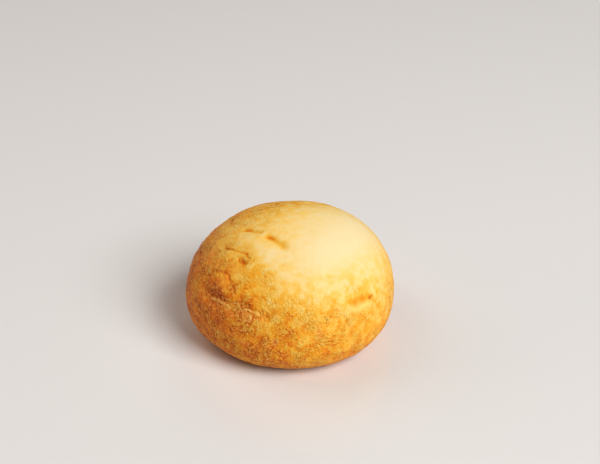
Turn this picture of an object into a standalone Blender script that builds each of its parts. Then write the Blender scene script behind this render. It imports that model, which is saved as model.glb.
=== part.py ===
"""A round cassava cheese bread: a low dome on a fuller belly, baked creases on its shoulder, and a flat foot.

Metres, +Z up. The origin is the middle of the foot. -Y is the front and +X is the paler side.
A place on the crust is given by two angles seen from the middle of the waist: its azimuth, counted
from +X towards +Y, and its tilt, 0 degrees at the top and 90 degrees at the waist.
"""

import math

import bmesh
import bpy
from mathutils import Vector, noise

MM = 0.001

# The plain form
PLAN_RADIUS = 42.6 * MM
ROLL_HEIGHT = 49.0 * MM
WAIST_HEIGHT = 15.3 * MM
BELLY_REACH = 20.6 * MM  # from the waist to where the belly would end if it weren't flattened
DOME_POWER = 2.12  # 2 is an ellipse, and more is squarer
BELLY_POWER = 2.43
FOOT_ROUNDING = 1.9 * MM
TOP_LEAN = 1.5 * MM  # towards +X

# Lobes of the outline seen from above: how many, their share of the radius, the azimuth of one peak
PLAN_LOBES = ((3, 0.0135, 57.0), (4, 0.002, 45.0))

# Uneven rising of the dough: the size of a wave, its height, and where its noise is read
RISE_WAVES = (
    (21.0 * MM, 0.55 * MM, Vector((3.1, 7.4, 1.9))),
    (8.5 * MM, 0.24 * MM, Vector((8.6, 2.2, 5.7))),
)
CALM_SIDE_AZIMUTH = -25.0  # the smoother, paler side
CALM_SHARE = 0.45  # of the wave height that is left there

# Creases where the dome folds over the belly: first and last azimuth, tilt at each end, depth, lip below
CREASES = (
    (-158.0, -121.5, 72.4, 71.5, 1.05 * MM, 0.45 * MM),
    (-129.5, -92.0, 71.3, 73.7, 0.70 * MM, 0.30 * MM),
    (-65.7, -31.3, 69.3, 70.2, 0.95 * MM, 0.45 * MM),
    (6.0, 42.0, 70.7, 68.9, 0.55 * MM, 0.25 * MM),
    (90.0, 150.0, 68.5, 70.6, 0.85 * MM, 0.40 * MM),
)
CREASE_HALF_WIDTH = 1.8 * MM
CREASE_LIP_DROP = 3.0 * MM
CREASE_LIP_HALF_WIDTH = 2.2 * MM
CREASE_RUNOUT = 9.0  # degrees over which a crease fades at each end

# Soft hollows, and swellings with a negative depth: azimuth, tilt, half length, half width, heading, depth.
# The heading turns the long side from level, rising towards +azimuth.
DENTS = (
    (-160.7, 28.6, 4.8 * MM, 1.8 * MM, 44.0, 0.65 * MM),
    (-113.6, 27.3, 5.4 * MM, 1.9 * MM, -20.0, 0.65 * MM),
    (-137.1, 33.1, 9.0 * MM, 4.5 * MM, 10.0, -0.35 * MM),
    (-140.9, 61.7, 6.0 * MM, 3.8 * MM, 0.0, -0.55 * MM),
    (-133.9, 46.6, 3.0 * MM, 2.0 * MM, -20.0, 0.35 * MM),
    (-77.9, 79.7, 9.0 * MM, 3.5 * MM, 0.0, 0.30 * MM),
    (62.2, 29.2, 5.0 * MM, 1.9 * MM, 15.0, 0.50 * MM),
    (118.0, 49.6, 7.0 * MM, 4.5 * MM, 0.0, -0.45 * MM),
    (175.0, 80.3, 7.0 * MM, 3.0 * MM, 10.0, 0.35 * MM),
)

CELLS_PER_SIDE = 30  # of the six square patches that the crust is made from

CRUST_COLOUR = (0.82, 0.46, 0.12, 1.0)
CRUST_ROUGHNESS = 0.55

WAIST_CENTRE = Vector((0.0, 0.0, WAIST_HEIGHT))


def direction_of(azimuth, tilt):
    azimuth, tilt = math.radians(azimuth), math.radians(tilt)
    return Vector((math.sin(tilt) * math.cos(azimuth), math.sin(tilt) * math.sin(azimuth), math.cos(tilt)))


def angles_of(direction):
    """Azimuth and tilt, in degrees."""
    level = math.hypot(direction.x, direction.y)
    return math.degrees(math.atan2(direction.y, direction.x)), math.degrees(math.atan2(level, direction.z))


def turn_between(azimuth, other):
    """The smallest turn from one azimuth to another, in degrees."""
    return (other - azimuth + 180.0) % 360.0 - 180.0


def smooth_step(value):
    value = min(max(value, 0.0), 1.0)
    return value * value * (3.0 - 2.0 * value)


def bell(distance, half_width):
    return math.exp(-((distance / half_width) ** 2))


def rest_on_board(height):
    """Flattens what would lie below the board, with a rounded edge."""
    share = min(max(0.5 + 0.5 * height / FOOT_ROUNDING, 0.0), 1.0)
    return height * share + FOOT_ROUNDING * share * (1.0 - share)


def plain_point(direction):
    """The point of the plain form that lies this way from the waist's middle, before the foot is flattened."""
    above = direction.z > 0.0
    power = DOME_POWER if above else BELLY_POWER
    reach = ROLL_HEIGHT - WAIST_HEIGHT if above else BELLY_REACH
    level = math.hypot(direction.x, direction.y)
    radius = ((level / PLAN_RADIUS) ** power + (abs(direction.z) / reach) ** power) ** (-1.0 / power)
    azimuth = math.atan2(direction.y, direction.x)
    lobes = 1.0 + sum(
        share * math.cos(count * (azimuth - math.radians(peak))) for count, share, peak in PLAN_LOBES
    )
    rise = max(direction.z * radius, 0.0) / (ROLL_HEIGHT - WAIST_HEIGHT)
    return Vector(
        (
            direction.x * radius * lobes + TOP_LEAN * rise,
            direction.y * radius * lobes,
            WAIST_HEIGHT + direction.z * radius,
        )
    )


def rise_relief(point, direction):
    calm = smooth_step(0.5 + 0.5 * direction.dot(direction_of(CALM_SIDE_AZIMUTH, 45.0)))
    strength = 1.0 + (CALM_SHARE - 1.0) * calm
    return strength * sum(
        height * noise.noise(point / size + place) for size, height, place in RISE_WAVES
    )


def crease_relief(point, azimuth, tilt):
    relief = 0.0
    reach = (point - WAIST_CENTRE).length
    for first, last, first_tilt, last_tilt, depth, lip in CREASES:
        middle, half_turn = 0.5 * (first + last), 0.5 * (last - first)
        turn = turn_between(middle, azimuth)
        fade = smooth_step((half_turn - abs(turn)) / CREASE_RUNOUT)
        if fade == 0.0:
            continue
        line_tilt = first_tilt + (last_tilt - first_tilt) * (turn + half_turn) / (2.0 * half_turn)
        above = math.radians(line_tilt - tilt) * reach
        groove = -depth * bell(above, CREASE_HALF_WIDTH)
        relief += fade * (groove + lip * bell(above + CREASE_LIP_DROP, CREASE_LIP_HALF_WIDTH))
    return relief


def dent_relief(point):
    relief = 0.0
    for azimuth, tilt, half_length, half_width, heading, depth in DENTS:
        outward = direction_of(azimuth, tilt)
        offset = point - plain_point(outward)
        if offset.length > 3.0 * half_length:
            continue
        level = Vector((0.0, 0.0, 1.0)).cross(outward).normalized()
        upward = outward.cross(level)
        turn = math.radians(heading)
        along = offset.dot(level * math.cos(turn) + upward * math.sin(turn))
        across = offset.dot(upward * math.cos(turn) - level * math.sin(turn))
        relief -= depth * bell(along, half_length) * bell(across, half_width)
    return relief


def crust_point(direction):
    point = plain_point(direction)
    azimuth, tilt = angles_of(direction)
    relief = rise_relief(point, direction) + crease_relief(point, azimuth, tilt) + dent_relief(point)
    point += direction * relief
    point.z = rest_on_board(point.z)
    return point


def sphere_direction(corner):
    """Spreads a point of the cube evenly over the sphere."""
    return Vector([math.tan(0.25 * math.pi * value) for value in corner]).normalized()


def crust_mesh():
    mesh = bpy.data.meshes.new("bread")
    shell = bmesh.new()
    bmesh.ops.create_cube(shell, size=2.0)
    bmesh.ops.subdivide_edges(shell, edges=shell.edges[:], cuts=CELLS_PER_SIDE - 1, use_grid_fill=True)
    for vertex in shell.verts:
        vertex.co = crust_point(sphere_direction(vertex.co))
    middle_x = 0.5 * (min(v.co.x for v in shell.verts) + max(v.co.x for v in shell.verts))
    middle_y = 0.5 * (min(v.co.y for v in shell.verts) + max(v.co.y for v in shell.verts))
    bmesh.ops.translate(shell, verts=shell.verts[:], vec=(-middle_x, -middle_y, 0.0))
    bmesh.ops.recalc_face_normals(shell, faces=shell.faces[:])
    shell.to_mesh(mesh)
    shell.free()
    mesh.shade_smooth()
    return mesh


def crust_material():
    material = bpy.data.materials.new("baked_crust")
    material.use_nodes = True
    shader = material.node_tree.nodes["Principled BSDF"]
    shader.inputs["Base Color"].default_value = CRUST_COLOUR
    shader.inputs["Roughness"].default_value = CRUST_ROUGHNESS
    shader.inputs["Metallic"].default_value = 0.0
    return material


def main():
    for thing in list(bpy.data.objects):
        bpy.data.objects.remove(thing, do_unlink=True)
    bread = bpy.data.objects.new("bread", crust_mesh())
    bread.data.materials.append(crust_material())
    bpy.context.scene.collection.objects.link(bread)


main()
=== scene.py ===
"""Dresses a cassava cheese bread: a fine crust over its solid, the baked colours, the light and the camera.

Metres, +Z up, -Y towards the camera. A place on the crust is given by two angles seen from a point inside
the bread, 20.4 mm above its foot: the azimuth, counted from +X towards +Y, and the tilt, 0 degrees straight
up and 90 degrees level.
"""

import math

import bpy
import numpy as np
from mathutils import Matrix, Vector, noise
from mathutils.bvhtree import BVHTree


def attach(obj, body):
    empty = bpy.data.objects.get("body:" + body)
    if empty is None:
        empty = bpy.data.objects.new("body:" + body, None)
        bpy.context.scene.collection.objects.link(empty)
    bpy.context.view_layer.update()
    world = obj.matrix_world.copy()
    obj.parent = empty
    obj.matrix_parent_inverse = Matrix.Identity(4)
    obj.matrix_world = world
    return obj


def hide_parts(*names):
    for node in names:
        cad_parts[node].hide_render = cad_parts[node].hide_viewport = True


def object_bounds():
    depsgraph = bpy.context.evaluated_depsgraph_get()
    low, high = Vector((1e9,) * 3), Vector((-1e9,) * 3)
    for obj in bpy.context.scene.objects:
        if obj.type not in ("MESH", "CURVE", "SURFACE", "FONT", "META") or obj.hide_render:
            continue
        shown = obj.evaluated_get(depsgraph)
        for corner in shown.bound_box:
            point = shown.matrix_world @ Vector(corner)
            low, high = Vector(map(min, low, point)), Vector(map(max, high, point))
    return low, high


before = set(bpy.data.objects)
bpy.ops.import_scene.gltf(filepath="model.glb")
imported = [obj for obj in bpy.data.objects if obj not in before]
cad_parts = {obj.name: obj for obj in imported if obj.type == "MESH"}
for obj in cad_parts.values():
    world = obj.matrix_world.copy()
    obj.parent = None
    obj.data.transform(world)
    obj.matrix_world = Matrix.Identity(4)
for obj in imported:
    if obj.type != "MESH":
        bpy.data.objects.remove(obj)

SOLID_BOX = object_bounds()

MM = 0.001
NODE = "bread"
INSIDE_POINT = np.array([0.5, -0.4, 20.4]) * MM

# ---------------------------------------------------------------- camera and light

CAMERA_PLACE = Vector((0.0042, -0.4142, 0.2863))
CAMERA_LOOKS_DOWN = 30.45  # degrees
LENS_MM = 72.6
NEAREST_SEEN, FARTHEST_SEEN = 0.01, 20.0

FLOOR_SIDE = 6.0
FLOOR_DROP = 0.2 * MM
FLOOR_COLOUR = (0.82, 0.808, 0.806, 1.0)
FLOOR_ROUGHNESS = 0.2
SURROUND_COLOUR = (1.0, 0.97, 0.95, 1.0)
SURROUND_STRENGTH = 0.03
LIGHT_DISTANCE = 3.6
DAYLIGHT = (1.0, 0.995, 0.975)
ROOM_BOUNCE = (1.0, 0.87, 0.76)
WARM_BOUNCE = (1.0, 0.81, 0.64)

# Soft lights: name, azimuth, elevation, side, watts, colour, and whether it shows in reflections
SOFT_LIGHTS = (
    ("window", -42.0, 42.0, 2.20, 147.0, DAYLIGHT, True),
    ("back_window", 80.0, 32.0, 2.00, 18.0, DAYLIGHT, False),
    ("back_wall", 148.0, 48.0, 2.60, 33.0, ROOM_BOUNCE, False),
    ("backdrop", 155.0, 15.0, 1.70, 10.0, ROOM_BOUNCE, True),
    ("side_wall", -174.0, 13.0, 1.50, 14.2, WARM_BOUNCE, False),
    ("front_fill", -90.0, 8.0, 0.90, 4.6, WARM_BOUNCE, False),
)


def outward(azimuth, tilt):
    azimuth, tilt = math.radians(azimuth), math.radians(tilt)
    return Vector((math.sin(tilt) * math.cos(azimuth), math.sin(tilt) * math.sin(azimuth), math.cos(tilt)))


def add_camera():
    camera = bpy.data.objects.new("camera", bpy.data.cameras.new("camera"))
    camera.data.lens = LENS_MM
    camera.data.clip_start = NEAREST_SEEN
    camera.data.clip_end = FARTHEST_SEEN
    camera.location = CAMERA_PLACE
    camera.rotation_euler = (math.radians(90.0 - CAMERA_LOOKS_DOWN), 0.0, 0.0)
    bpy.context.scene.collection.objects.link(camera)
    bpy.context.scene.camera = camera


def add_soft_light(name, azimuth, elevation, side, watts, colour, in_reflections):
    light = bpy.data.lights.new(name, "AREA")
    light.shape = "SQUARE"
    light.size = side
    light.energy = watts
    light.color = colour
    lamp = bpy.data.objects.new(name, light)
    away = outward(azimuth, 90.0 - elevation)
    lamp.location = away * LIGHT_DISTANCE
    lamp.rotation_euler = away.to_track_quat("Z", "Y").to_euler()
    lamp.visible_glossy = in_reflections
    bpy.context.scene.collection.objects.link(lamp)


def add_surround():
    world = bpy.data.worlds.new("surround")
    world.use_nodes = True
    background = world.node_tree.nodes["Background"]
    background.inputs["Color"].default_value = SURROUND_COLOUR
    background.inputs["Strength"].default_value = SURROUND_STRENGTH
    bpy.context.scene.world = world


def add_floor():
    mesh = bpy.data.meshes.new("floor")
    half = 0.5 * FLOOR_SIDE
    square = ((-half, -half), (half, -half), (half, half), (-half, half))
    mesh.from_pydata([(x, y, -FLOOR_DROP) for x, y in square], [], [(0, 1, 2, 3)])
    floor = bpy.data.objects.new("floor", mesh)
    bpy.context.scene.collection.objects.link(floor)
    material = bpy.data.materials.new("pale_floor")
    material.use_nodes = True
    shader = material.node_tree.nodes["Principled BSDF"]
    shader.inputs["Base Color"].default_value = FLOOR_COLOUR
    shader.inputs["Roughness"].default_value = FLOOR_ROUGHNESS
    mesh.materials.append(material)


# ---------------------------------------------------------------- the crust's fine mesh

CELLS = 128  # along each side of the six patches
SMOOTHING_ROUNDS = 26

# Outward, rightward and upward of each patch
PATCHES = (
    ((1, 0, 0), (0, 1, 0), (0, 0, 1)),
    ((-1, 0, 0), (0, -1, 0), (0, 0, 1)),
    ((0, 1, 0), (-1, 0, 0), (0, 0, 1)),
    ((0, -1, 0), (1, 0, 0), (0, 0, 1)),
    ((0, 0, 1), (1, 0, 0), (0, 1, 0)),
    ((0, 0, -1), (1, 0, 0), (0, -1, 0)),
)

# The map that the patches lie in side by side, and the margin round each, as a share of its side
MAP_COLUMNS, MAP_ROWS, MAP_MARGIN = 3, 2, 0.012


def sphere_grid():
    """Unit directions, four-cornered faces and their map corners, of a cube blown up into a sphere."""
    steps = np.arange(CELLS + 1)
    across, up = np.meshgrid(steps, steps, indexing="ij")
    numbers = across * (CELLS + 1) + up
    cell_corners = (numbers[:-1, :-1], numbers[1:, :-1], numbers[1:, 1:], numbers[:-1, 1:])
    patch_faces = np.stack(cell_corners, -1).reshape(-1, 4)
    share = np.stack([across, up], -1).reshape(-1, 2) / CELLS
    inside = MAP_MARGIN + (1.0 - 2.0 * MAP_MARGIN) * share
    lattice, faces, corners = [], [], []
    for patch, (away, right, top) in enumerate(PATCHES):
        away, right, top = np.array(away), np.array(right), np.array(top)
        spread = (2 * across - CELLS)[..., None] * right + (2 * up - CELLS)[..., None] * top
        lattice.append((spread + CELLS * away).reshape(-1, 3))
        faces.append(patch_faces + patch * numbers.size)
        cell = np.array([patch % MAP_COLUMNS, patch // MAP_COLUMNS])
        corners.append((cell + inside) / (MAP_COLUMNS, MAP_ROWS))
    points, index = np.unique(np.concatenate(lattice), axis=0, return_inverse=True)
    faces = np.concatenate(faces)
    corners = np.concatenate(corners)[faces]
    faces = index.reshape(-1)[faces]
    directions = np.tan(0.25 * np.pi * points / CELLS)
    directions /= np.linalg.norm(directions, axis=1, keepdims=True)
    return directions, faces, corners


def shrink_onto(node, directions):
    """Where a ray from the inside point leaves the node, for every direction."""
    tree = BVHTree.FromObject(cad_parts[node], bpy.context.evaluated_depsgraph_get())
    start = Vector(INSIDE_POINT)
    return np.array([tree.ray_cast(start, Vector(way))[0] for way in directions])


def smoothed(points, faces):
    """Rounds off the solid's facets: each round moves a point halfway to the middle of its neighbours."""
    sides = np.concatenate([faces[:, [i, (i + 1) % 4]] for i in range(4)])
    edges = np.unique(np.sort(sides, axis=1), axis=0)
    counts = np.bincount(edges.ravel(), minlength=len(points))[:, None]
    for _ in range(SMOOTHING_ROUNDS):
        total = np.zeros_like(points)
        np.add.at(total, edges[:, 0], points[edges[:, 1]])
        np.add.at(total, edges[:, 1], points[edges[:, 0]])
        points = 0.5 * (points + total / counts)
    return points


def normals_of(points, faces):
    corner = points[faces]
    across = np.cross(corner[:, 2] - corner[:, 0], corner[:, 3] - corner[:, 1])
    total = np.zeros_like(points)
    for i in range(4):
        np.add.at(total, faces[:, i], across)
    return total / np.linalg.norm(total, axis=1, keepdims=True)


# ---------------------------------------------------------------- fields over the crust


def bell(distance, half_width):
    return np.exp(-((distance / half_width) ** 2))


def between(limits, share):
    return limits[0] + (limits[1] - limits[0]) * share


def smooth_step(low, high, value):
    share = np.clip((value - low) / (high - low), 0.0, 1.0)
    return share * share * (3.0 - 2.0 * share)


def tapered(share, runout=0.2):
    """1 along a line, falling to 0 at both its ends."""
    return smooth_step(0.0, runout, share) * smooth_step(0.0, runout, 1.0 - share)


def waves(points, size, place):
    """Smooth noise from about -1 to 1, with waves of this size, read from this place of the noise."""
    return np.array([noise.noise(Vector(spot)) for spot in points / size + np.array(place)])


class Crust:
    """The points of the crust, and where they lie."""

    WANDER_SIZE = 2.4 * MM
    WANDER_REACH = 0.55 * MM
    WANDER_PLACES = ((3.3, 0.7, 5.1), (8.2, 4.9, 1.6), (0.4, 9.5, 7.8))

    def __init__(self, directions, points, normals):
        self.directions = directions
        self.points = points
        self.normals = normals
        level = np.hypot(directions[:, 0], directions[:, 1])
        self.tilt = np.degrees(np.arctan2(level, directions[:, 2]))
        shifts = [waves(points, self.WANDER_SIZE, place) for place in self.WANDER_PLACES]
        self.strayed = points + self.WANDER_REACH * np.stack(shifts, -1)

    def place(self, azimuth, tilt):
        return self.points[np.argmax(self.directions @ np.array(outward(azimuth, tilt)))]

    def near(self, azimuth, tilt, reach):
        """How close each point is to a place: 1 there, falling off as a bell over reach, in metres."""
        return bell(np.linalg.norm(self.points - self.place(azimuth, tilt), axis=1), reach)

    def facing(self, azimuth, tilt):
        return self.directions @ np.array(outward(azimuth, tilt))

    def along(self, stops):
        """For each point: its distance from a wandering line, its share of the way along, and its side.

        The side is 1 above the line and -1 below it.
        """
        path = np.array([self.place(azimuth, tilt) for azimuth, tilt in stops])
        best = np.full(len(self.points), np.inf)
        share = np.zeros(len(self.points))
        side = np.ones(len(self.points))
        lengths = np.linalg.norm(np.diff(path, axis=0), axis=1)
        walked = 0.0
        for start, end, length in zip(path[:-1], path[1:], lengths):
            step = (end - start) / length
            at = np.clip((self.strayed - start) @ step, 0.0, length)
            offset = self.strayed - start - at[:, None] * step
            distance = np.linalg.norm(offset, axis=1)
            closer = distance < best
            best = np.where(closer, distance, best)
            share = np.where(closer, (walked + at) / lengths.sum(), share)
            side = np.where(closer, np.sign(offset[:, 2]), side)
            walked += length
        return best, share, side


# The calm side faces the window light: its paleness is partly less baking, partly a painted highlight.
# Baking, from 0, pale cream, to 1, brown. The belly and the left side are baked more, the calm side less.
# The belly begins between two tilts, and each side between two values of how squarely a point faces it.
BAKE_MIDDLE = 0.49
BAKE_BELLY, BELLY_TILTS = 0.38, (42.0, 88.0)
BAKE_LEFT, LEFT_SIDE, LEFT_EDGES = 0.12, (160.0, 50.0), (-0.05, 0.5)
BAKE_CALM, CALM_SIDE, CALM_EDGES = -0.51, (-27.0, 44.5), (0.07, 1.06)
MOST_BAKED = 1.02  # where creases and cracks are browned too

# Uneven baking: strength, size in millimetres, place of the noise, share of it lost on the calm side
BAKE_WAVES = (
    (0.10, 11.0, (2.9, 6.1, 4.4), 0.6),
    (0.12, 4.6, (8.3, 1.2, 9.9), 0.9),
)

# Places baked more or less than their surroundings: azimuth, tilt, reach in millimetres, change
BAKED_SPOTS = (
    # The top
    (-145.0, 20.0, 16.0, -0.10),
    (-20.0, 6.0, 9.0, 0.07),
    (-112.0, 27.5, 4.0, 0.08),
    (-134.0, 36.5, 4.6, -0.15),
    (-154.0, 40.0, 4.2, -0.15),
    (-112.0, 40.0, 4.6, -0.13),
    # Lighter on the left edge: partly paler crust, partly a painted sheen of grazing light
    (-168.0, 43.0, 9.0, -0.14),
    # The left side, above the crease
    (-176.0, 53.0, 7.0, 0.10),
    (-170.0, 59.0, 9.0, 0.08),
    (-134.5, 52.4, 1.7, 0.20),
    (-130.0, 59.0, 5.0, -0.20),
    (-121.5, 69.8, 3.4, -0.16),
    (-156.0, 74.0, 4.5, -0.10),
    # The dark patch on the left shoulder
    (-141.0, 70.6, 4.2, 0.07),
    (-139.6, 75.0, 3.8, 0.22),
    (-137.5, 75.6, 2.6, 0.14),
    (-134.0, 73.5, 3.5, 0.08),
    (-130.9, 77.8, 1.8, 0.12),
    # Along and under the crease
    (-117.0, 75.4, 3.2, 0.08),
    (-103.0, 73.5, 4.5, -0.12),
    (-110.1, 77.5, 2.2, 0.10),
    (-101.5, 77.5, 3.0, -0.10),
    (-98.9, 77.0, 1.5, 0.16),
    (-128.0, 79.4, 2.4, -0.16),
    (-160.0, 83.5, 4.6, -0.10),
    (-145.0, 83.5, 2.8, 0.02),
    (-107.0, 83.5, 3.8, -0.20),
    (-100.0, 82.0, 10.0, -0.06),
    # The belly
    (-152.0, 93.0, 5.0, -0.10),
    (-144.0, 91.0, 6.0, 0.08),
    (-130.0, 91.0, 7.0, 0.08),
    (-129.6, 100.0, 3.2, -0.10),
    (-104.0, 94.0, 6.0, 0.07),
    (-88.0, 92.0, 8.0, -0.04),
    # The next two are lighter for painted light thrown up onto the bottom of the belly
    (-80.0, 108.0, 9.0, -0.10),
    (-70.0, 106.0, 5.0, -0.08),
    # The right side
    (-69.0, 79.5, 3.0, 0.14),
    (-53.5, 74.8, 2.4, -0.12),
    (-49.0, 62.0, 8.0, 0.08),
    (-47.0, 75.0, 4.0, 0.12),
    (-44.0, 91.0, 9.0, 0.04),
    (-34.4, 85.4, 1.7, 0.18),
    (-34.0, 98.0, 4.0, -0.10),
    (8.0, 62.0, 9.0, -0.10),
    # The back
    (35.0, 74.0, 5.0, 0.12),
    (86.0, 50.0, 7.0, -0.10),
    (104.0, 80.0, 4.0, -0.14),
    (120.0, 72.0, 6.0, 0.16),
    (142.0, 79.5, 4.0, -0.12),
    (160.0, 66.0, 5.0, 0.12),
)


def bake_level(crust):
    calm = smooth_step(*CALM_EDGES, crust.facing(*CALM_SIDE))
    level = BAKE_MIDDLE + BAKE_BELLY * smooth_step(*BELLY_TILTS, crust.tilt)
    level += BAKE_LEFT * smooth_step(*LEFT_EDGES, crust.facing(*LEFT_SIDE))
    level += BAKE_CALM * calm
    for azimuth, tilt, reach, change in BAKED_SPOTS:
        level += change * crust.near(azimuth, tilt, reach * MM)
    for strength, size, place, calmed in BAKE_WAVES:
        level += strength * waves(crust.points, size * MM, place) * (1.0 - calmed * calm)
    return np.maximum(level, 0.0)


# Levels of baking between which the skin turns rough, and between which it turns rougher still
ROUGH_FROM = (0.08, 0.76)
ROUGHER_FROM = (0.6, 0.95)
ROUGHER_BY = 0.6


def roughness_at(bake):
    return smooth_step(*ROUGH_FROM, bake) * (1.0 + ROUGHER_BY * smooth_step(*ROUGHER_FROM, bake))


# The lie of the strands: level with a wander, or steep in patches, which are more common on the flat top
LIE_WANDER = 3.0 * MM
LIE_WANDER_SIZE = 12.0 * MM
STEEP_LIE_HEADING = np.array([0.85, 0.45, 0.28])
STEEP_PATCH_SIZE = 8.0 * MM
STEEP_PATCH_EDGE = 0.15
STEEP_EVERYWHERE, STEEP_ON_TOP = -0.12, 0.8
TOP_NORMALS = (0.35, 0.85)  # upward parts of the normal between which the top begins


def lie_of_skin(crust):
    """Two fields whose contour lines the strands of the skin follow, and the share of the steep one."""
    points = crust.points
    level_lie = points[:, 2] + LIE_WANDER * waves(points, LIE_WANDER_SIZE, (5.5, 2.2, 7.1))
    steep_lie = points @ STEEP_LIE_HEADING + LIE_WANDER * waves(points, LIE_WANDER_SIZE, (1.4, 8.6, 3.9))
    top = smooth_step(*TOP_NORMALS, crust.normals[:, 2])
    steep = waves(points, STEEP_PATCH_SIZE, (6.6, 0.3, 2.8)) + STEEP_ON_TOP * top + STEEP_EVERYWHERE
    return {
        "level_lie": level_lie,
        "steep_lie": steep_lie,
        "steep": smooth_step(-STEEP_PATCH_EDGE, STEEP_PATCH_EDGE, steep),
    }


# ---------------------------------------------------------------- relief

# Creases on the shoulder, as (azimuth, tilt) stops: groove depth, how far the browning reaches up from it,
# both in millimetres, and the strengths of the browning and of the pale strip below
# Above a groove the browning is partly painted shade; the pale strip below is partly a painted highlight
CREASES = (
    # Left and front
    (((-160, 79.0), (-156, 78.0), (-151, 78.2), (-147, 78.6)), 0.20, 1.4, 0.08, 0.2),
    (((-147.5, 77.4), (-142, 78.1), (-138.5, 77.8), (-135, 77.6), (-131.5, 77.3)), 0.55, 2.6, 0.16, 0.2),
    (((-131.5, 77.4), (-128, 76.7), (-124, 76.6), (-121, 76.2)), 0.32, 1.6, 0.10, 0.5),
    (((-122.5, 75.6), (-117.5, 75.8), (-112, 76.6), (-106, 78.2), (-99, 80.0)), 0.46, 2.0, 0.12, 0.8),
    (((-114.3, 79.0), (-111.7, 79.6), (-106, 80.8), (-99, 81.0)), 0.24, 0.5, 0.26, 0.0),
    # Right
    (((-88, 77.0), (-76, 77.6), (-68, 77.4), (-61, 76.6)), 0.14, 1.6, 0.06, 0.4),
    (((-66, 74.6), (-57, 75.3), (-52, 75.7), (-48, 76.4), (-42, 77.4), (-36.6, 78.6)), 0.26, 1.6, 0.08, 2.2),
    # Back
    (((6, 76.2), (16, 75.2), (28, 74.8), (42, 74.0)), 0.34, 1.8, 0.14, 0.6),
    (((92, 73.8), (103, 74.6), (116, 74.2), (127, 75.2)), 0.50, 2.6, 0.20, 0.6),
    (((124, 74.4), (134, 75.6), (149, 76.0)), 0.38, 2.0, 0.16, 0.6),
)
GROOVE_HALF_WIDTH = 0.70 * MM
GROOVE_BREAKS_SIZE = 1.9 * MM  # of the waves that break up a crease's groove
GROOVE_BREAKS = (-0.75, 0.1)  # heights of those waves at which it is gone and whole
STRIP_DROP, STRIP_HALF_WIDTH, STRIP_PALENESS = 3.0 * MM, 1.8 * MM, 0.25

# Thin raised lips of pale skin, as (azimuth, tilt) stops: height and half width in millimetres, paleness
# Their paleness is partly pale skin and partly a painted highlight where a lip faces the light
LIPS = (
    # Along the left and front crease
    (((-152.2, 80.8), (-149.5, 79.3), (-145.8, 78.3)), 0.20, 0.34, 0.75),
    (
        ((-143.6, 78.8), (-141, 79.4), (-138.5, 79.0), (-135, 79.3), (-132, 78.8), (-130.2, 76.8)),
        0.32, 0.36, 1.00,
    ),
    (((-126.8, 77.8), (-124.8, 76.0), (-122.6, 75.8), (-120.6, 77.4)), 0.22, 0.34, 0.95),
    (((-131.4, 78.8), (-128.2, 78.5), (-125.2, 77.7)), 0.18, 0.42, 0.65),
    (((-132.0, 80.2), (-127.5, 80.0), (-124.4, 79.2)), 0.16, 0.40, 0.50),
    (((-120.8, 78.4), (-115.3, 77.0), (-112.6, 77.5), (-108.8, 77.9), (-103.8, 79.5)), 0.26, 0.34, 0.95),
    (((-114.0, 80.2), (-111.8, 80.5)), 0.28, 0.50, 1.00),
    (((-98.2, 76.8), (-95.6, 79.6)), 0.18, 0.60, 0.60),
    (((-88.4, 79.2), (-84.0, 80.6), (-80.6, 79.4)), 0.16, 0.40, 0.50),
    # Along the right crease
    (((-61.5, 80.2), (-53.5, 80.0), (-45.9, 80.6), (-38.6, 80.4)), 0.22, 0.95, 0.60),
    (((-36.4, 81.4), (-34.6, 78.6), (-34.2, 75.6)), 0.20, 0.46, 0.60),
    # On the belly
    (((-148.0, 92.8), (-147.0, 96.2), (-142.4, 97.8)), 0.16, 0.36, 0.45),
    (((-145.4, 92.4), (-143.1, 95.6), (-139.0, 97.4)), 0.16, 0.36, 0.50),
    (((-140.4, 90.8), (-138.1, 93.6), (-134.0, 96.4)), 0.16, 0.36, 0.45),
    # Along the back creases
    (((10, 77.6), (16, 76.8), (22, 76.5)), 0.22, 0.40, 0.60),
    (((27, 76.3), (33, 75.8), (38, 75.9)), 0.18, 0.38, 0.60),
    (((95, 75.2), (100, 76.0), (105, 76.2)), 0.26, 0.38, 0.90),
    (((108, 75.8), (114, 75.9), (119, 75.8)), 0.24, 0.38, 0.75),
    (((121, 77.2), (124, 77.6)), 0.24, 0.50, 0.80),
    (((128, 76.6), (134, 77.0), (141, 77.6)), 0.24, 0.40, 0.85),
)
LIP_RUNOUT = 0.3
LIP_SMOOTHING = 0.7

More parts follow.
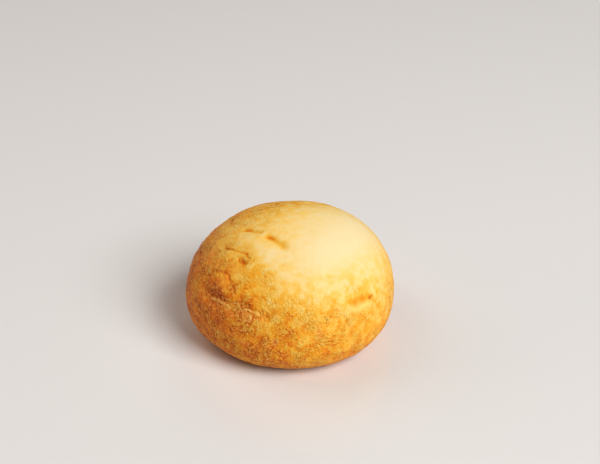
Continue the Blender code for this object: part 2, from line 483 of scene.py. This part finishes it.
# Dents and cracks, as (azimuth, tilt) stops: depth and half width in millimetres, browning
CRACKS = (
    # The two dents near the top
    (((-176.5, 38.6), (-171.0, 35.4), (-165.5, 32.2), (-155.5, 28.2), (-143, 25.2)), 0.38, 1.15, 0.30),
    (((-173.5, 36.6), (-168.8, 34.2), (-164.0, 31.6)), 0.20, 0.65, 0.32),
    (((-151.0, 27.0), (-145.0, 26.4)), 0.20, 0.70, 0.30),
    (((-142, 27.0), (-129, 26.9), (-119, 27.9), (-109, 29.8), (-99, 32.2), (-91, 35.4)), 0.40, 1.50, 0.30),
    (((-131.0, 26.4), (-123.0, 26.6), (-115.0, 27.6)), 0.20, 0.80, 0.32),
    (((-104.0, 33.6), (-97.0, 34.4), (-91.0, 36.2)), 0.12, 1.00, 0.14),
    # The cracks below them
    (((-162.6, 58.2), (-160.9, 55.8)), 0.22, 0.60, 0.30),
    (((-161.0, 53.6), (-157.0, 51.2), (-153.4, 49.6), (-148.4, 48.8)), 0.28, 0.46, 0.38),
    (((-155.4, 48.8), (-151.0, 48.9), (-146.6, 48.6)), 0.24, 0.42, 0.34),
    (((-150.0, 48.4), (-143.1, 47.1), (-138.0, 46.4), (-132.0, 47.0)), 0.24, 0.42, 0.32),
    (((-137.5, 45.6), (-133.0, 46.6), (-128.0, 48.2)), 0.28, 0.56, 0.36),
    (((-132.0, 44.4), (-129.0, 45.0)), 0.12, 0.50, 0.22),
    (((-140.0, 52.6), (-136.2, 52.0), (-131.4, 51.9), (-127.6, 52.4)), 0.42, 1.10, 0.34),
    (((-146.0, 56.6), (-144.0, 56.2)), 0.18, 0.75, 0.20),
    # The arc above the dark patch
    (((-151.4, 66.6), (-147.3, 64.4), (-142.8, 63.1), (-138.7, 62.7), (-134.6, 64.0)), 0.34, 0.48, 0.34),
    (((-140.6, 62.7), (-137.6, 63.0), (-131.9, 65.3), (-128.2, 68.6), (-126.0, 72.6)), 0.36, 0.48, 0.38),
    # Nicks at the left
    (((-152.0, 68.6), (-150.6, 70.4)), 0.20, 0.60, 0.26),
    (((-177.6, 68.0), (-175.8, 69.6)), 0.16, 0.70, 0.24),
    (((-172.8, 60.6), (-171.6, 62.0)), 0.14, 0.60, 0.20),
    # Faint marks in the middle
    (((-98.0, 47.6), (-95.6, 48.0)), 0.14, 0.70, 0.18),
    (((-75.0, 52.3), (-73.0, 52.7)), 0.12, 0.55, 0.12),
    (((-70.0, 30.1), (-66.0, 30.7)), 0.10, 0.55, 0.10),
    (((-65.0, 57.8), (-60.0, 58.9), (-55.0, 59.6)), 0.14, 0.70, 0.12),
    (((-64.4, 71.2), (-62.4, 72.4)), 0.12, 0.55, 0.18),
    (((-62.0, 81.0), (-63.0, 83.5), (-64.0, 86.0)), 0.18, 0.40, 0.16),
    (((-65.0, 86.0), (-66.5, 89.0), (-66.0, 92.0)), 0.16, 0.40, 0.14),
    # The right crease and its end
    (((-57.0, 75.4), (-52.0, 75.6), (-48.0, 76.1), (-42.0, 76.9), (-36.0, 78.2)), 0.25, 1.40, 0.25),
    (((-39.8, 77.8), (-36.8, 78.6)), 0.50, 0.58, 0.40),
    (((-33.0, 77.2), (-32.2, 79.0)), 0.20, 0.50, 0.22),
    (((-26.2, 81.4), (-25.2, 83.8)), 0.15, 0.50, 0.18),
    # The back
    (((54, 51.0), (61, 47.4)), 0.34, 0.80, 0.50),
    (((104, 35.0), (111.5, 37.6)), 0.34, 0.70, 0.46),
    (((132, 33.0), (139.5, 34.0)), 0.30, 0.60, 0.46),
    (((62, 36.0), (76, 33.0), (92, 33.5)), 0.32, 0.95, 0.26),
    (((150, 52.0), (158, 49.0), (166, 49.6)), 0.24, 0.42, 0.34),
    (((98, 60.0), (104, 57.6), (111, 58.0), (116, 61.0)), 0.26, 0.40, 0.34),
    (((20, 52.0), (26, 50.6), (33, 51.4)), 0.16, 0.60, 0.16),
    (((128, 57.6), (131, 58.4)), 0.34, 0.90, 0.36),
    (((172, 70.0), (178, 68.6), (-177, 69.2)), 0.26, 0.40, 0.30),
)
DEEP_BROWNING = 0.42  # a crack that is browned this much is fully shaded
SHADE_FADING, SHADE_NARROWING = 3.0, 1.5  # powers of a crack's browning and of its profile

# Pores: azimuth, tilt, radius and depth in millimetres
PORES = (
    (-32.6, 92.5, 0.80, 0.40),
    (-75.5, 85.8, 0.75, 0.30),
    (-57.5, 86.4, 0.80, 0.20),
    (-98.0, 92.0, 0.60, 0.25),
    (60.0, 84.0, 0.80, 0.35),
    (140.0, 86.0, 0.75, 0.35),
)
PIT_SPREAD, RIM_SPREAD = 0.6, 1.35  # of the radius
RIM_HALF_WIDTH, RIM_HEIGHT, RIM_PALENESS = 0.4 * MM, 0.12 * MM, 0.5
PIT_BROWNING = 0.35

# Paler skin, on the upper left and the left edge partly a painted sheen of grazing light:
# azimuth, tilt, reach in millimetres, paleness
PALE_AND_SHEEN_PATCHES = (
    (-142.0, 16.0, 11.0, 0.22),
    (-128.0, 33.0, 3.5, 0.25),
    (-146.0, 33.5, 4.5, 0.30),
    (-145.0, 42.0, 5.0, 0.10),
    (-172.0, 44.0, 8.0, 0.18),
    (-190.0, 50.0, 11.0, 0.36),
    (-131.0, 58.0, 4.0, 0.20),
    (-163.0, 59.0, 8.0, 0.18),
    (-137.0, 68.2, 2.8, 0.16),
    (-13.0, 74.0, 11.0, 0.20),
    (-74.2, 89.8, 1.8, 0.30),
)
PATCH_WAVES_SIZE, PATCH_WAVES = 5.0 * MM, 0.5  # size and strength of the waves that make them uneven

# Places where the skin is smoother: azimuth, tilt, reach in millimetres, share of the roughness that is lost
SMOOTH_SPOTS = (
    (-146.0, 51.8, 4.2, 0.50),
    (-129.5, 60.0, 3.8, 0.50),
    (-112.0, 63.0, 6.0, 0.35),
    (-137.0, 67.8, 3.4, 0.75),
    (-42.0, 93.0, 11.0, 0.35),
)

# Wrinkles: how many, the seed that scatters them, and the least and the most of each measure
WRINKLE_COUNT = 420
WRINKLE_SEED = 11
WRINKLE_HALF_LENGTHS = (1.0 * MM, 2.8 * MM)
WRINKLE_HALF_WIDTHS = (0.42 * MM, 0.67 * MM)
WRINKLE_DEPTHS = (0.05 * MM, 0.14 * MM)
WRINKLE_BROWNINGS = (0.06, 0.18)
WRINKLE_CUTOFF = 2.5  # half lengths from its middle, past which a wrinkle is left out
TINY = 1e-9  # keeps a length from being 0

# Ripples: height and size in millimetres, place of the noise, share of the height on smooth skin
RIPPLES = (
    (0.11, 1.7, (1.7, 5.2, 8.8), 0.0),
    (0.10, 3.6, (7.7, 3.1, 0.4), 0.2),
)


class Relief:
    """What is added to the crust: its relief, browning, paler skin and the shade in its cracks.

    Some of the browning is painted shade, and some of the paler skin painted highlight and sheen.
    """

    def __init__(self, crust, rough):
        self.crust = crust
        self.rough = rough
        self.height = np.zeros(len(crust.points))
        self.brown = np.zeros_like(self.height)
        self.pale = np.zeros_like(self.height)
        self.shade = np.zeros_like(self.height)

    def add_patches(self):
        uneven = 1.0 + PATCH_WAVES * waves(self.crust.points, PATCH_WAVES_SIZE, (3.8, 7.2, 6.1))
        for azimuth, tilt, reach, paleness in PALE_AND_SHEEN_PATCHES:
            self.pale += paleness * self.crust.near(azimuth, tilt, reach * MM) * uneven
        for azimuth, tilt, reach, share in SMOOTH_SPOTS:
            self.rough *= 1.0 - share * self.crust.near(azimuth, tilt, reach * MM)

    def add_creases(self):
        """Broken grooves, browned further above than below, each over a paler strip.

        The browning above is partly painted shade, and the strip partly a painted highlight.
        """
        broken = smooth_step(*GROOVE_BREAKS, waves(self.crust.points, GROOVE_BREAKS_SIZE, (4.2, 9.1, 3.3)))
        for stops, depth, reach_up, browning, strip in CREASES:
            distance, share, side = self.crust.along(stops)
            ends = tapered(share)
            groove = bell(distance, GROOVE_HALF_WIDTH)
            burnt = np.where(side > 0.0, bell(distance, reach_up * MM), groove)
            self.height -= depth * MM * groove * ends * broken
            self.brown += browning * burnt * ends
            paleness = STRIP_PALENESS * strip
            self.pale += paleness * bell(distance * side + STRIP_DROP, STRIP_HALF_WIDTH) * ends

    def add_lips(self):
        for stops, height, half_width, paleness in LIPS:
            distance, share, _ = self.crust.along(stops)
            lip = bell(distance, half_width * MM) * tapered(share, LIP_RUNOUT)
            self.height += height * MM * lip
            self.pale += paleness * lip
            self.brown *= 1.0 - lip
            self.rough *= 1.0 - LIP_SMOOTHING * paleness * lip

    def add_cracks(self):
        for stops, depth, half_width, browning in CRACKS:
            distance, share, _ = self.crust.along(stops)
            groove = bell(distance, half_width * MM) * tapered(share)
            self.height -= depth * MM * groove
            self.brown += browning * groove
            self.pale *= 1.0 - groove
            shade = (browning / DEEP_BROWNING) ** SHADE_FADING * groove**SHADE_NARROWING
            self.shade = np.maximum(self.shade, shade)

    def add_pores(self):
        for azimuth, tilt, radius, depth in PORES:
            distance = np.linalg.norm(self.crust.strayed - self.crust.place(azimuth, tilt), axis=1)
            pit = bell(distance, PIT_SPREAD * radius * MM)
            rim = bell(distance - RIM_SPREAD * radius * MM, RIM_HALF_WIDTH)
            self.height += RIM_HEIGHT * rim - depth * MM * pit
            self.brown += PIT_BROWNING * pit
            self.pale += RIM_PALENESS * rim

    def add_wrinkles(self):
        draw = np.random.default_rng(WRINKLE_SEED)
        for _ in range(WRINKLE_COUNT):
            at = draw.integers(len(self.crust.points))
            self.add_wrinkle(at, *draw.random(4))

    def add_wrinkle(self, at, turn, length, width, depth):
        """A short shallow fold of the skin at this point, stronger where the skin is rough."""
        upright = self.crust.normals[at]
        level = np.cross((0.0, 0.0, 1.0), upright)
        level /= np.linalg.norm(level) + TINY
        heading = math.pi * turn
        way = math.cos(heading) * level + math.sin(heading) * np.cross(upright, level)
        half_length = between(WRINKLE_HALF_LENGTHS, length)
        half_width = between(WRINKLE_HALF_WIDTHS, width)
        offset = self.crust.strayed - self.crust.strayed[at]
        close = np.flatnonzero(np.abs(offset).max(axis=1) < WRINKLE_CUTOFF * half_length)
        offset = offset[close]
        along = offset @ way
        across = np.linalg.norm(offset - along[:, None] * way, axis=1)
        fold = bell(along, half_length) * bell(across, half_width) * self.rough[at]
        self.height[close] -= between(WRINKLE_DEPTHS, depth) * fold
        self.brown[close] += between(WRINKLE_BROWNINGS, depth) * fold

    def add_ripples(self):
        for height, size, place, smooth_share in RIPPLES:
            strength = smooth_share + (1.0 - smooth_share) * self.rough
            self.height += height * MM * waves(self.crust.points, size * MM, place) * strength


# ---------------------------------------------------------------- materials


class Nodes:
    """Adds and links the nodes of one material."""

    def __init__(self, name):
        self.material = bpy.data.materials.new(name)
        self.material.use_nodes = True
        self.tree = self.material.node_tree
        self.shader = self.tree.nodes["Principled BSDF"]

    def add(self, kind, **settings):
        node = self.tree.nodes.new(kind)
        for key, value in settings.items():
            setattr(node, key, value)
        return node

    def put(self, socket, value):
        if isinstance(value, bpy.types.NodeSocket):
            self.tree.links.new(value, socket)
        else:
            socket.default_value = value

    def fill(self, node, values):
        """Puts values into the inputs of a node, by their names."""
        for name, value in values.items():
            self.put(node.inputs[name], value)

    def value_of(self, attribute):
        return self.add("ShaderNodeAttribute", attribute_name=attribute).outputs["Fac"]

    def math(self, operation, *values, clamp=False):
        node = self.add("ShaderNodeMath", operation=operation, use_clamp=clamp)
        for socket, value in zip(node.inputs, values):
            self.put(socket, value)
        return node.outputs[0]

    def where(self, size, place):
        """Coordinates for a texture with waves of this size."""
        mapping = self.add("ShaderNodeMapping", vector_type="TEXTURE")
        here = self.add("ShaderNodeTexCoord").outputs["Object"]
        self.fill(mapping, {"Vector": here, "Location": place, "Scale": (size, size, size)})
        return mapping.outputs["Vector"]

    def noise(self, size, place, detail, roughness):
        node = self.add("ShaderNodeTexNoise")
        grain = {"Scale": 1.0, "Detail": detail, "Roughness": roughness}
        self.fill(node, {"Vector": self.where(size, place), **grain})
        return node.outputs["Fac"]

    def strands(self, across, length, width, place, detail, roughness):
        """Noise drawn out to this length along the contour lines of the attribute across."""
        node = self.add("ShaderNodeTexNoise", noise_dimensions="4D")
        depth = self.math("DIVIDE", self.value_of(across), width)
        grain = {"Scale": 1.0, "Detail": detail, "Roughness": roughness}
        self.fill(node, {"Vector": self.where(length, place), "W": depth, **grain})
        return node.outputs["Fac"]

    def spots(self, spacing, place, whole, gone):
        """Scattered round spots, 1 in their middles and 0 between them."""
        node = self.add("ShaderNodeTexVoronoi")
        self.fill(node, {"Vector": self.where(spacing, place), "Scale": 1.0})
        return self.remap(node.outputs["Distance"], (whole, gone), (1.0, 0.0))

    def remap(self, value, source, target):
        node = self.add("ShaderNodeMapRange", interpolation_type="SMOOTHSTEP")
        ends = {"From Min": source[0], "From Max": source[1], "To Min": target[0], "To Max": target[1]}
        self.fill(node, {"Value": value, **ends})
        return node.outputs["Result"]

    def ramp(self, value, stops):
        node = self.add("ShaderNodeValToRGB")
        elements = node.color_ramp.elements
        while len(elements) < len(stops):
            elements.new(0.5)
        for element, (place, colour) in zip(elements, stops):
            element.position = place
            element.color = (*colour, 1.0)
        self.put(node.inputs["Fac"], value)
        return node.outputs["Color"]

    def mix(self, share, first, second, blend="MIX"):
        node = self.add("ShaderNodeMix", data_type="RGBA", blend_type=blend)
        self.fill(node, {"Factor": share, "A": first, "B": second})
        return node.outputs["Result"]


# The crust's colour at each level of baking, past 1 for what is scorched
DEEPEST_BAKE = 1.4
BAKED_COLOURS = (
    (0.00, (0.930, 0.745, 0.405)),
    (0.12, (0.925, 0.690, 0.300)),
    (0.28, (0.940, 0.620, 0.165)),
    (0.44, (0.940, 0.535, 0.080)),
    (0.60, (0.930, 0.445, 0.034)),
    (0.76, (0.930, 0.355, 0.015)),
    (0.92, (0.880, 0.255, 0.009)),
    (1.04, (0.810, 0.195, 0.008)),
    (1.40, (0.520, 0.090, 0.005)),
)
PALE_SKIN = (1.0, 0.66, 0.18, 1.0)
PALE_COVER = 0.80  # of the baked colour, where the skin is palest
WHITE = (1.0, 1.0, 1.0, 1.0)
FURROW_SHADE = (0.92, 0.74, 0.38, 1.0)  # of the light that falls between the strands
CRACK_SHADE = (0.66, 0.62, 0.50, 1.0)

NOISE_MIDDLE = (0.36, 0.64)  # values of a noise texture that are spread over the whole of a field
BOTH_WAYS = (-1.0, 1.0)

# Strands of drawn skin: the field whose contour lines they follow, length and width in millimetres, place
STRANDS = (
    ("level_lie", 1.25, 0.66, (0.5, 0.2, 0.4)),
    ("steep_lie", 1.20, 0.62, (0.2, 0.6, 0.1)),
)

# The fine skin is its strands and its grain together, in patches that are rougher and smoother
GRAIN_SIZE, GRAIN_SHARE = 0.8 * MM, 0.58
ROUGH_PATCH_SIZE, ROUGH_PATCH_EDGES = 5.0 * MM, (0.38, 0.60)
SMOOTHEST_PATCH = 0.45  # share of the roughness that is left there
LIGHTER_STRANDS = -0.12  # change of the baking from the middle of the skin up to its strands
FURROWS = (-1.2, 0.0)  # levels of the skin from its deepest furrows up to its middle
LIT_STRANDS, LIT_PALENESS = (0.1, 1.2), 0.36  # levels over which the strands are painted pale as a highlight, and how pale

# Pits, and raised flecks painted pale as glints: spacing, place of the noise, and the shares of the spacing
# from a spot's middle within which it is whole and past which it is gone
PITS = (2.6 * MM, (0.1, 0.4, 0.6), 0.10, 0.26)
GLINT_FLECKS = (2.0 * MM, (0.6, 0.9, 0.3), 0.09, 0.24)
PIT_BAKING, PIT_HEIGHT = 0.18, -0.7
GLINT_PALENESS, GLINT_FLECK_HEIGHT = 0.22, 0.8

# Mottling of the baked colour, which fades where the crust is baked less
MOTTLE_SIZE, MOTTLE_BAKING = 3.3 * MM, 0.14
MOTTLED_FROM, LEAST_MOTTLED = (0.0, 0.42), 0.12

BUMP_DEPTH = 0.15 * MM
GRAIN_ENDS, SURFACE_ROUGHNESS = (0.3, 0.7), (0.42, 0.60)  # the roughness at each end of the grain
SPECULAR_LEVEL = 0.14


def drawn_skin(nodes):
    """From -1 in the furrows to 1 on the strands, which run level in some places and steeply in others."""
    level_run, steep_run = (
        nodes.strands(across, length * MM, width * MM, place, detail=2.0, roughness=0.6)
        for across, length, width, place in STRANDS
    )
    difference = nodes.math("SUBTRACT", steep_run, level_run)
    run = nodes.math("MULTIPLY_ADD", difference, nodes.value_of("steep"), level_run)
    return nodes.remap(run, NOISE_MIDDLE, BOTH_WAYS)


def baked_colour(nodes, skin, pits, glint_flecks):
    mottle = nodes.noise(MOTTLE_SIZE, (0.8, 0.3, 0.5), detail=3.0, roughness=0.6)
    mottle = nodes.remap(mottle, NOISE_MIDDLE, BOTH_WAYS)
    mottled = nodes.remap(nodes.value_of("bake"), MOTTLED_FROM, (LEAST_MOTTLED, 1.0))
    level = nodes.math("ADD", nodes.value_of("bake"), nodes.value_of("brown"))
    level = nodes.math("MULTIPLY_ADD", nodes.math("MULTIPLY", mottle, mottled), MOTTLE_BAKING, level)
    level = nodes.math("MULTIPLY_ADD", skin, LIGHTER_STRANDS, level)
    level = nodes.math("MULTIPLY_ADD", pits, PIT_BAKING, level)
    stops = [(baking / DEEPEST_BAKE, colour) for baking, colour in BAKED_COLOURS]
    colour = nodes.ramp(nodes.math("DIVIDE", level, DEEPEST_BAKE), stops)

    # The paler skin also holds painted highlight and sheen; the lit strands and glint flecks add painted
    # highlights
    lit = nodes.math("MULTIPLY", nodes.remap(skin, LIT_STRANDS, (0.0, 1.0)), LIT_PALENESS)
    pale = nodes.math("ADD", nodes.value_of("pale"), lit)
    pale = nodes.math("MULTIPLY_ADD", glint_flecks, GLINT_PALENESS, pale, clamp=True)
    colour = nodes.mix(nodes.math("MULTIPLY", pale, PALE_COVER), colour, PALE_SKIN)

    furrows = nodes.remap(skin, FURROWS, (1.0, 0.0))
    for share, shade in ((furrows, FURROW_SHADE), (nodes.value_of("shade"), CRACK_SHADE)):
        colour = nodes.mix(1.0, colour, nodes.mix(share, WHITE, shade), blend="MULTIPLY")
    return colour


def crust_material():
    nodes = Nodes("baked_crust")
    patches = nodes.noise(ROUGH_PATCH_SIZE, (0.4, 0.7, 0.2), detail=2.0, roughness=0.5)
    patches = nodes.remap(patches, ROUGH_PATCH_EDGES, (SMOOTHEST_PATCH, 1.0))
    rough = nodes.math("MULTIPLY", nodes.value_of("rough"), patches)
    grain = nodes.noise(GRAIN_SIZE, (0.3, 0.1, 0.7), detail=3.0, roughness=0.65)
    coarse = nodes.remap(grain, NOISE_MIDDLE, BOTH_WAYS)
    skin = nodes.math("MULTIPLY_ADD", coarse, GRAIN_SHARE, drawn_skin(nodes))
    skin, pits, glint_flecks = (
        nodes.math("MULTIPLY", field, rough) for field in (skin, nodes.spots(*PITS), nodes.spots(*GLINT_FLECKS))
    )

    height = nodes.math("MULTIPLY_ADD", pits, PIT_HEIGHT, skin)
    height = nodes.math("MULTIPLY_ADD", glint_flecks, GLINT_FLECK_HEIGHT, height)
    bump = nodes.add("ShaderNodeBump")
    nodes.fill(bump, {"Strength": 1.0, "Distance": BUMP_DEPTH, "Height": height})
    finish = {
        "Base Color": baked_colour(nodes, skin, pits, glint_flecks),
        "Normal": bump.outputs["Normal"],
        "Roughness": nodes.remap(grain, GRAIN_ENDS, SURFACE_ROUGHNESS),
        "Specular IOR Level": SPECULAR_LEVEL,
    }
    nodes.fill(nodes.shader, finish)
    return nodes.material


# ---------------------------------------------------------------- the bread

FOOT_FADE = (0.1 * MM, 2.5 * MM)  # heights above the foot between which the fine relief begins


def crust_mesh(points, faces, corners, fields):
    mesh = bpy.data.meshes.new("crust")
    mesh.from_pydata(points.tolist(), [], faces.tolist())
    chart = mesh.uv_layers.new(name="OFBake")
    chart.uv.foreach_set("vector", corners.astype(np.float32).ravel())
    for name, values in fields.items():
        mesh.attributes.new(name, "FLOAT", "POINT").data.foreach_set("value", values.astype(np.float32))
    mesh.shade_smooth()
    mesh.materials.append(crust_material())
    return mesh


def add_crust():
    directions, faces, corners = sphere_grid()
    points = smoothed(shrink_onto(NODE, directions), faces)
    crust = Crust(directions, points, normals_of(points, faces))
    bake = bake_level(crust)
    relief = Relief(crust, roughness_at(bake))
    relief.add_patches()
    relief.add_creases()
    relief.add_lips()
    relief.add_cracks()
    relief.add_pores()
    relief.add_wrinkles()
    relief.add_ripples()
    fields = {
        "bake": bake,
        "rough": relief.rough,
        "brown": np.minimum(relief.brown, np.maximum(MOST_BAKED - bake, 0.0)),
        "pale": relief.pale,
        "shade": relief.shade,
        **lie_of_skin(crust),
    }
    height = relief.height * smooth_step(*FOOT_FADE, points[:, 2])
    points = np.clip(points + height[:, None] * crust.normals, *np.array(SOLID_BOX))
    piece = bpy.data.objects.new("crust", crust_mesh(points, faces, corners, fields))
    bpy.context.scene.collection.objects.link(piece)
    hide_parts(NODE)
    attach(piece, "root")


add_camera()
add_surround()
add_floor()
for light in SOFT_LIGHTS:
    add_soft_light(*light)
add_crust()

bpy.context.scene.view_settings.view_transform = "Standard"
